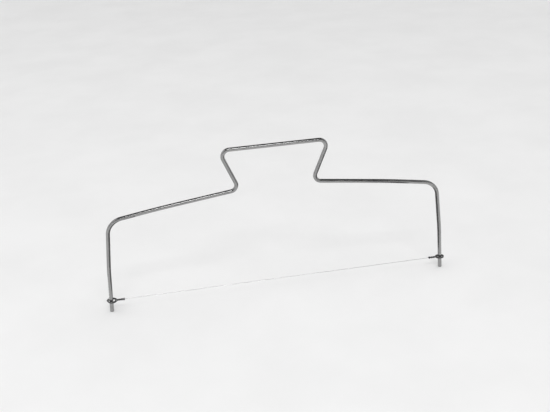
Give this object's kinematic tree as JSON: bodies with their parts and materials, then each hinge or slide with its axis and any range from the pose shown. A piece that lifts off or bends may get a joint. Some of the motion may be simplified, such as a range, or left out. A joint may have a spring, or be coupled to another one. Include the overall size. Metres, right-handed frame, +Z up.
{
  "type": "cake leveler",
  "caption": "Hand-held cake leveler: a bent steel rod bow with a raised handle and a thin cutting wire whose twisted eyes move up notches in the legs.",
  "frame": {"origin": "on the table plane, midway between the two feet", "axes": "+Z up from the feet to the handle, X along the cutting wire with the left leg at -X, Y across the plane of the rod"},
  "size_m": [0.3332, 0.0074, 0.1517],
  "materials": {
    "rod_steel": "satin-polished stainless steel rod",
    "eye_steel": "darker drawn stainless steel wire",
    "wire_steel": "bright hard-drawn stainless steel wire"
  },
  "bodies": {
    "bow": {"frame": "rod_steel"},
    "left_end": {"left_eye": "eye_steel"},
    "wire_span": {"cutting_wire": "wire_steel", "right_eye": "eye_steel"}
  },
  "joints": [
    {"name": "wire_height", "type": "slide", "parent": "bow", "child": "left_end", "axis": [0, 0, 1], "range_m": [0, 0.0252]},
    {"name": "wire_tilt", "type": "hinge", "parent": "left_end", "child": "wire_span", "pos_m": [-0.14995, 0, 0.0114], "axis": [0, -1, 0], "range_deg": [0, 1.03]}
  ]
}
